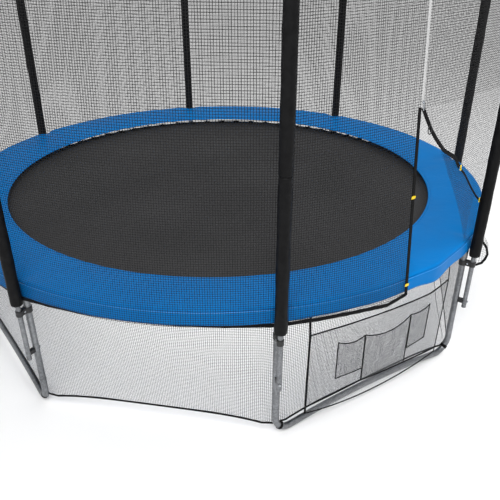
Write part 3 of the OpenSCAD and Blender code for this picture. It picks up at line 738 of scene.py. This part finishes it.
# Doorway: net above it, the zip down its middle, and a flap to each side below.
head_z = np.linspace(DOOR_TOP, NET_HIGH - 0.018, 16)
left_of_zip = net_sheet(np.linspace(-LEG_HALF, ZIP_A - 0.18, 24), head_z)
right_of_zip = net_sheet(np.linspace(ZIP_A + 0.18, LEG_HALF, 24), head_z)
head_left = piece("door_head_net_left", left_of_zip, safety_mesh)
head_right = piece("door_head_net_right", right_of_zip, safety_mesh)
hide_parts("door_head")


def zip_line():
    """Two tapes 7 mm wide and a row of coil teeth, one tooth to 5 mm."""
    z = np.linspace(DOOR_TOP, NET_HIGH - 0.022, 30)
    tapes = [strip(np.full(30, ZIP_A + side * 0.13), z, 0.007, 0.0012) for side in (-1, 1)]
    rise = np.arange(DOOR_TOP + 0.004, NET_HIGH - 0.026, 0.005)
    out, tooth = radial([ZIP_A] * 3), np.array([-0.0014, 0, 0.0014])
    wide = [oval(0.002, width, 6, 0.5) for width in (0.0055, 0.0045)]
    teeth = [carry(on_net([ZIP_A] * 3, t + tooth, 0.0012), out, wide[k % 2]) for k, t in enumerate(rise)]
    return joined(tapes + teeth)


zipper = piece("zip_tapes_and_teeth", zip_line(), zip_tape)
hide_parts("zip_track")


def pull():
    """Zip slider: a waisted body, a bridge over it and a pull tab that hangs from the bridge."""
    z = DOOR_TOP + 0.022
    out, spot = radial(ZIP_A), lambda dz, lift: on_net(ZIP_A, z + dz, lift)
    body = pillow(spot(0.008, 0.0042), (0.008, 0.0058, 0.0030), (0, 0, 1), out, 0.5)
    arch = ((0.001, 0.006), (0.002, 0.0088), (0.008, 0.0098), (0.014, 0.0088), (0.015, 0.006))
    bridge = carry([spot(dz, lift) for dz, lift in arch], (1, 0, 0), oval(0.003, 0.0016, 6))
    tab = pillow(spot(-0.014, 0.0085), (0.017, 0.004, 0.0009), (0, 0, 1), out, 0.4)
    turns = np.linspace(0, 2 * math.pi, 12, endpoint=False)
    round_bar = [(0.005 * math.sin(t), np.array([0.0035 * math.cos(t), 0, 0])) for t in turns]
    eye = carry([spot(0.004 + rise, 0.0085) + aside for rise, aside in round_bar], out,
        oval(0.0014, 0.0014, 6), closed=True)
    return joined([body, bridge, tab, eye])


slider = piece("zip_slider_and_pull", pull(), plated, body="zip_slider")
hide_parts("zip_slider")

flap_z = np.linspace(0.752, DOOR_TOP, 24)
left_a = np.linspace(-LEG_HALF, STRAP_A, 26)
la, lz = np.meshgrid(left_a, flap_z, indexing="ij")
lz = np.where(lz < 0.753, np.interp(la, door_hem_a, door_hem_z) + 0.008, lz)
hung_left = lattice(on_net(la, lz), uv=np.stack([np.radians(la) * 1.8, lz], -1))
flap_left = piece("door_flap_left_net", hung_left, safety_mesh)
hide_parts("door_flap_left")
strap_z = np.linspace(0.752, DOOR_TOP + 0.006, 40)
left_edge = strip(np.full(40, STRAP_A), strap_z, 0.021, 0.003, 0.0012)
left_strap = piece("door_strap_left", left_edge, black_tape)
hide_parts("door_binding")


def fold_angle(z):
    """Angle of the right flap's folded edge: it falls from the zip to the right pole's foot."""
    return np.interp(z, [0.76, 0.80, 0.872, 1.03, 1.18, 1.344, 1.455, 1.486, 1.561, 1.661, DOOR_TOP],
        [20.6, 19.9, 18.4, 15.5, 12.6, 9.2, 7.2, 6.9, 4.7, 2.4, 1.25])


def flap_right():
    """The right flap between its folded edge and the pole, slack enough to wave by 8 mm."""
    z = np.linspace(0.765, DOOR_TOP, 40)
    u = np.linspace(0, 1, 26)
    uu, zz = np.meshgrid(u, z, indexing="ij")
    edge = fold_angle(zz)
    a = edge + (LEG_HALF - 0.15 - edge) * uu
    wave = 0.008 * np.sin(math.pi * uu) * np.sin(7 * uu + 5 * zz)
    points = point(net_radius(a, zz) - 0.003 + wave * 0.6, a, zz)
    return lattice(points, uv=np.stack([np.radians(a) * 1.8, zz], -1))


STRAP_LINE = np.array([(1.15, 1.722), (1.8, 1.688), (2.35, 1.661), (3.5, 1.606), (4.7, 1.561),
    (7.05, 1.487), (9.0, 1.452), (10.55, 1.424), (12.2, 1.360), (14.0, 1.316), (17.5, 1.205), (20.3, 1.130),
    (22.6, 1.081)])


def flap_turn():
    """The part of the flap that is turned back on itself, between its fold and its strap."""
    t = np.linspace(0, 1, 30)
    strap_a = np.interp(t, np.linspace(0, 1, 7), STRAP_LINE[5:12, 0])
    strap_h = np.interp(t, np.linspace(0, 1, 7), STRAP_LINE[5:12, 1])
    low_z = 1.455 + (0.80 - 1.455) * t
    low_a = fold_angle(low_z)
    u = np.linspace(0, 1, 12)
    a = low_a[:, None] + (strap_a - low_a)[:, None] * u
    z = low_z[:, None] + (strap_h - low_z)[:, None] * u
    r = net_radius(a, z) - 0.010 - 0.010 * np.sin(math.pi * u)[None]
    return lattice(point(r, a, z), uv=np.stack([np.radians(a) * 1.8 + 0.005, z + 0.004], -1))


right_flap = piece("door_flap_right_net", flap_right(), door_mesh)
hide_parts("door_flap_right")
turned = piece("door_flap_right_turn", flap_turn(), door_mesh)
smooth_t = np.linspace(0, 1, 60)
line_t = np.linspace(0, 1, len(STRAP_LINE))
strap_a = np.interp(smooth_t, line_t, STRAP_LINE[:, 0])
strap_h = np.interp(smooth_t, line_t, STRAP_LINE[:, 1])
thick = strap_a < 12.3
upper_strap = strip(strap_a[thick], strap_h[thick], 0.020, 0.004, -0.004)
lower_strap = strip(strap_a[~thick], strap_h[~thick], 0.012, 0.003, -0.004)
right_strap = piece("door_strap_right", joined([upper_strap, lower_strap]), black_tape)
loop_t = np.linspace(0, 2 * math.pi, 24, endpoint=False)
loop_path = on_net(2.85 + 0.42 * np.cos(loop_t), 1.612 + 0.021 * np.sin(loop_t), 0.004)
loop = carry(loop_path, radial(np.full(24, 2.85)), oval(0.005, 0.005, 6), closed=True)
ring_loop = piece("door_strap_ring", loop, black_moulding)


# The pouch's open hem, as shares of its length: angle, height and distance outside the net.
POUCH_HEM = np.array([
    (0.0, 23.95, 0.645, 0.014), (0.1, 24.2, 0.644, 0.034), (0.3, 25.0, 0.653, 0.062),
    (0.5, 25.9, 0.669, 0.073), (0.7, 26.9, 0.690, 0.077), (0.85, 27.9, 0.720, 0.058),
    (1.0, 28.7, 0.760, 0.006)])


def pouch():
    """The flap's lower corner, tucked past the right pole: a bag that swells outwards by 77 mm at its
    open hem, and closes against the net at both sides and at its top."""
    t, u = np.linspace(0, 1, 30)[:, None], np.linspace(0, 1, 22)[None]
    a, low, swell = (np.interp(t, POUCH_HEM[:, 0], POUCH_HEM[:, k]) for k in (1, 2, 3))
    a = a + 0 * u
    z = low + (0.950 - low) * u
    share = np.interp(z, [0.72, 0.76, 0.79, 0.82, 0.87, 0.95], [1, 0.93, 0.62, 0.36, 0.10, 0.0])
    r = net_radius(a, z) + 0.004 + swell * share
    edge = point(r[:, 0], a[:, 0], z[:, 0])
    return lattice(point(r, a, z), uv=np.stack([np.radians(a) * 1.9, z], -1)), edge, a[:, 0]


pouch_part, pouch_edge, pouch_a = pouch()
bag = piece("door_flap_pouch", pouch_part, door_mesh)
rolled_hem = carry(pouch_edge, radial(pouch_a), oval(0.015, 0.015, 8))
bag_hem = piece("door_flap_pouch_hem", rolled_hem, black_tape)


def buckle(a, z, turn=0.0, size=1.0):
    """Side-release buckle: socket, plug, two sprung arms and the bar that the strap loops round."""
    out = radial(a)
    right = np.cross((0, 0, 1), out) * -1
    up = np.array([0, 0, 1.0]) * math.cos(turn) + right * math.sin(turn)
    side = np.cross(out, up)
    centre = on_net(a, z, 0.008 * size)
    parts = [pillow(centre + up * 0.011 * size, (0.014 * size, 0.014 * size, 0.0042 * size), up, out, 0.3)]
    parts.append(pillow(centre - up * 0.013 * size, (0.011 * size, 0.0135 * size, 0.0036 * size), up, out,
        0.35))
    for s in (-1, 1):
        parts.append(pillow(centre + side * s * 0.0145 * size, (0.010 * size, 0.0022 * size, 0.003 * size),
            up, out, 0.5))
        bar = centre + up * s * 0.026 * size
        ends = np.linspace(-0.0135, 0.0135, 5)[:, None] * size * side + bar
        parts.append(carry(ends, out, oval(0.004 * size, 0.004 * size, 6)))
        for edge in (-1, 1):
            arm = np.array([centre + up * s * 0.02 * size, bar]) + side * edge * 0.0125 * size
            parts.append(carry(arm, out, oval(0.004 * size, 0.004 * size, 6)))
    return joined(parts)


pair = joined([buckle(STRAP_A, z, math.pi / 2, 0.5) for z in (1.296, 0.817)])
buckles = piece("strap_buckle_pair", pair, yellow_moulding)
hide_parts("strap_buckles")


def strap_hook(a, z):
    """Small open hook: a bar bent round on itself on a flat shank."""
    t = np.radians(np.linspace(-60, 220, 12))
    out = radial(a)
    right = np.cross(out, (0, 0, 1)) * -1
    curl = on_net(a, z - 0.012, 0.004) + 0.006 * (np.cos(t)[:, None] * right
        + np.sin(t)[:, None] * np.array([0, 0, -1.0]))
    shank = pillow(on_net(a, z + 0.002, 0.004), (0.009, 0.0055, 0.0025), (0, 0, 1), out, 0.4)
    return joined([carry(curl, out, oval(0.005, 0.004, 6)), shank])


pair = joined([strap_hook(12.2, 1.366), strap_hook(22.0, 1.092)])
hooks = piece("strap_hook_pair", pair, yellow_moulding)
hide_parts("buckle_catches")


# ---- Cloth round the legs -----------------------------------------------------------------------


def hem_height(a):
    """Height of the cloth's hem: 98 mm at mid bay, 43 mm lower at the legs by a fourth power."""
    off, half = bay(a)
    return 0.098 - 0.043 * (np.abs(off) / half) ** 4


def leg_cloth():
    """The fine net round the legs, one sheet closed all round, with slight vertical waves."""
    a = bay_angles(0.0, 360.0, 0.75)[:-1]
    up = np.linspace(0, 1, 20)[None]
    z = hem_height(a)[:, None] + (CLOTH_TOP - hem_height(a)[:, None]) * up
    aa = np.broadcast_to(a[:, None], z.shape)
    off, half = bay(aa)
    slack = np.maximum(1 - np.abs(off) / half, 0) ** 0.5
    wave = -0.0035 * slack * (1 + np.sin(np.radians(aa) * 46)) * np.sin(math.pi * up)
    u = np.radians(np.append(a, 360.0))[:, None] * 1.76 + 0 * up
    uv = np.stack([u, np.concatenate([z, z[:1]])], -1)
    return lattice(point(cloth_radius(aa, z) + wave, aa, z), around=True, uv=uv), a


cloth_part, cloth_a = leg_cloth()
cloth = piece("leg_cloth_net", cloth_part, leg_mesh)
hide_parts("lower_net")
hems = []
for z, section in ((hem_height(cloth_a), oval(0.006, 0.013, 8, 0.7)),
        (CLOTH_TOP - 0.006, oval(0.003, 0.014, 8, 0.4))):
    hems.append(carry(point(cloth_radius(cloth_a, z), cloth_a, z), radial(cloth_a), section, closed=True))
hem_cord = piece("leg_cloth_hem", joined(hems), black_tape)
seam_z = np.linspace(0.110, 0.745, 24)
seam_a = np.interp(seam_z, [0.101, 0.281, 0.663, 0.745], [21.7, 19.1, 12.5, 11.6])
seam_path = point(cloth_radius(seam_a, seam_z) + 0.001, seam_a, seam_z)
sewn_seam = carry(seam_path, radial(seam_a), oval(0.002, 0.005, 6))
cloth_seam = piece("leg_cloth_seam", sewn_seam, black_tape)


def corner_ties():
    """Webbing loops half way round the legs' bends, 20 mm wide, each with a knot on its inner side."""
    t = np.linspace(0, 2 * math.pi, 24, endpoint=False)
    lean = math.pi / 4
    x, z = BEND_X + BEND_R * math.sin(lean), BEND_Z - BEND_R * math.cos(lean)
    parts = []
    for side in (-1, 1):
        up = np.array([-side * math.sin(lean), 0, math.cos(lean)])
        along = np.array([math.cos(lean), 0, side * math.sin(lean)])
        centre = np.array([side * x, -CHORD_R, z])
        out = np.cos(t)[:, None] * up + np.sin(t)[:, None] * np.array([0, 1.0, 0])
        parts.append(carry(centre + 0.0209 * out, out, oval(0.0016, 0.020, 8, 0.3), closed=True))
        parts.append(pillow(centre + 0.0225 * up, (0.009, 0.010, 0.005), along, up, 0.6))
    return repeat(joined(parts), [0, 90, 180, 270])


ties = piece("leg_cloth_corner_ties", corner_ties(), black_tape)
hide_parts("corner_straps")

PANEL_HALF, PANEL_TOP = 17.1, 0.620
HEM_LINE = ((-17.1, -11.6, -4.7, 0.9, 6.6, 12.7, 17.1), (0.136, 0.149, 0.167, 0.153, 0.143, 0.128, 0.121))


def panel_radius(a, z):
    """The pocket panel leaves the cloth at its top edge and falls outside the foot tube; above that
    edge its side tapes lie on the cloth."""
    fall = np.clip((PANEL_TOP - z) / PANEL_TOP, 0, 1)
    plane = (CHORD_R + 0.037) / cosd(a)
    rise = np.clip((z - PANEL_TOP) / 0.12, 0, 1)
    return 1.792 * (1 - fall) + plane * fall - 0.010 * rise


def panel_top(a):
    """The panel's upper edge: level, with a parabola 26 mm high round -4 degrees."""
    return 0.623 + 0.026 * np.maximum(1 - ((a + 4) / 14) ** 2, 0)


def panel_low(a):
    """The apron's lower edge: a parabola that rises 60 mm to each side."""
    return 0.030 + 0.060 * (np.abs(a) / PANEL_HALF) ** 2.0


def panel_hem(a):
    """The edge between panel and apron, straight between the stops of HEM_LINE."""
    return np.interp(a, *HEM_LINE)


def on_panel(a, z, lift=0.0):
    """Points on the panel at angle a and height z, lifted outwards."""
    a, z = np.asarray(a, float), np.asarray(z, float)
    return point(panel_radius(a, z) + lift, a, z)


def panel_sheet(low, high, n):
    """Part of the panel between two edges, each a height that depends on the angle."""
    a, u = np.linspace(-PANEL_HALF, PANEL_HALF, 60)[:, None], np.linspace(0, 1, n)[None]
    z = low(a) + (high(a) - low(a)) * u
    return lattice(on_panel(a + 0 * u, z), uv=np.stack([np.radians(a) * 1.74 + 0 * u, z], -1))


def pocket(left, right, sag, belly):
    """A pocket between two side edges, each (angle at the top, angle at the foot, top, foot); its
    mouth sags as a parabola and its cloth bellies out between the sides."""
    t, u = np.linspace(0, 1, 30)[:, None], np.linspace(0, 1, 22)[None]
    top_a, foot_a, top_z, foot_z = (p + (q - p) * t for p, q in zip(left, right))
    mouth = top_z - sag * 4 * t * (1 - t)
    a = foot_a + (top_a - foot_a) * u
    z = foot_z + (mouth - foot_z) * u
    lift = 0.002 + belly * np.sin(math.pi * t) ** 0.7 * np.sin(math.pi / 2 * u) ** 0.6
    uv = np.stack([np.radians(a) * 1.74, z], -1)
    edges = (np.s_[0], np.s_[-1], np.s_[:, -1], np.s_[:, 0])
    rims = [(a[edge], z[edge], lift[edge]) for edge in edges]
    return lattice(on_panel(a, z, lift), uv=uv), rims


def tape(a, z, lift=0.003, thick=0.005, wide=0.008):
    """Binding tape sewn along a line on the panel."""
    return carry(on_panel(a, z, lift), radial(a), oval(thick, wide, 6, 0.7))


panel = piece("pocket_panel_cloth", panel_sheet(panel_hem, panel_top, 24), panel_mesh)
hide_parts("pocket_panel")
apron = piece("pocket_panel_apron", panel_sheet(panel_low, panel_hem, 8), apron_mesh)
span = np.linspace(-PANEL_HALF, PANEL_HALF, 60)
bindings = [tape(span, panel_top(span), 0.0, 0.006, 0.010), tape(span, panel_low(span), 0.0, 0.006, 0.009)]
bindings.append(tape(span, panel_hem(span), 0.001, 0.006, 0.013))
for edge, wide in ((-PANEL_HALF, 0.013), (PANEL_HALF, 0.008)):
    rise = np.linspace(panel_low(edge), 0.750, 30)
    bindings.append(tape(np.full(30, edge), rise, 0.001, 0.005, wide))
# Side edges of the three pockets, in degrees and metres.
EDGES = [(-11.57, -11.05, 0.538, 0.271), (-5.95, -5.15, 0.532, 0.271), (-5.92, -4.38, 0.532, 0.166),
    (5.20, 7.47, 0.541, 0.144), (5.25, 7.01, 0.541, 0.263), (11.05, 12.22, 0.538, 0.273)]
for name, left, right, sag, belly in (("pocket_left", 0, 1, 0.020, 0.006),
        ("pocket_middle", 2, 3, 0.036, 0.010), ("pocket_right", 4, 5, 0.010, 0.006)):
    part, rims = pocket(EDGES[left], EDGES[right], sag, belly)
    made = piece(name, part, pocket_mesh)
    if name == "pocket_middle":
        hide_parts("pockets")
    for k, (a, z, lift) in enumerate(rims):
        if (name, k) != ("pocket_left", 1):
            broad = k == 0 and name != "pocket_left"
            bindings.append(tape(a, z, lift, 0.005, 0.012 if broad else 0.007))
binding = piece("pocket_panel_binding", joined(bindings), black_tape)


# ---- Floor, light and camera --------------------------------------------------------------------

FLOOR_HALF = 200
floor_material = bpy.data.materials.new("pale_floor")
floor_material.use_nodes = True
floor_material.node_tree.nodes["Principled BSDF"].inputs["Base Color"].default_value = (0.92, 0.92, 0.92, 1)
floor_material.node_tree.nodes["Principled BSDF"].inputs["Roughness"].default_value = 0.9
floor_mesh = bpy.data.meshes.new("floor")
corners = ((-1, -1), (1, -1), (1, 1), (-1, 1))
floor_mesh.from_pydata([(x * FLOOR_HALF, y * FLOOR_HALF, -0.0005) for x, y in corners], [], [(0, 1, 2, 3)])
floor_mesh.materials.append(floor_material)
floor = bpy.data.objects.new("floor", floor_mesh)
bpy.context.scene.collection.objects.link(floor)

world = bpy.data.worlds.new("studio")
bpy.context.scene.world = world
world.use_nodes = True
world.node_tree.nodes["Background"].inputs["Color"].default_value = (1, 1, 1, 1)
world.node_tree.nodes["Background"].inputs["Strength"].default_value = 0.70


def softbox(name, place, aim, size, power):
    """A round area light that the camera doesn't see; only the key shows in reflections."""
    light = bpy.data.lights.new(name, "AREA")
    light.shape, light.size, light.energy = "DISK", size, power
    lamp = bpy.data.objects.new(name, light)
    lamp.location = place
    lamp.rotation_euler = (Vector(aim) - Vector(place)).to_track_quat("-Z", "Y").to_euler()
    lamp.visible_camera = False
    lamp.visible_glossy = name == "key"
    bpy.context.scene.collection.objects.link(lamp)


softbox("key", (-3.5, -4.5, 6.0), (0, 0, 0.6), 4.0, 330)
softbox("fill", (5.0, -2.0, 4.5), (0, 0, 0.6), 5.0, 170)
softbox("under", (0, 0, 0.72), (0, 0, 0), 2.9, 30)

camera = bpy.data.cameras.new("camera")
camera.sensor_width = 36
camera.lens = 641.4 / 500 * 36
camera.shift_x, camera.shift_y = 0.0027, 0.10
camera.clip_end = 100
eye = bpy.data.objects.new("camera", camera)
heading, pitch = math.radians(55.829), math.radians(31.790)
look = Vector((math.cos(heading) * math.cos(pitch), math.sin(heading) * math.cos(pitch), -math.sin(pitch)))
eye.location = (-2.317, -3.784, 2.530)
eye.rotation_euler = look.to_track_quat("-Z", "Y").to_euler()
bpy.context.scene.collection.objects.link(eye)
bpy.context.scene.camera = eye
bpy.context.scene.view_settings.view_transform = "Standard"
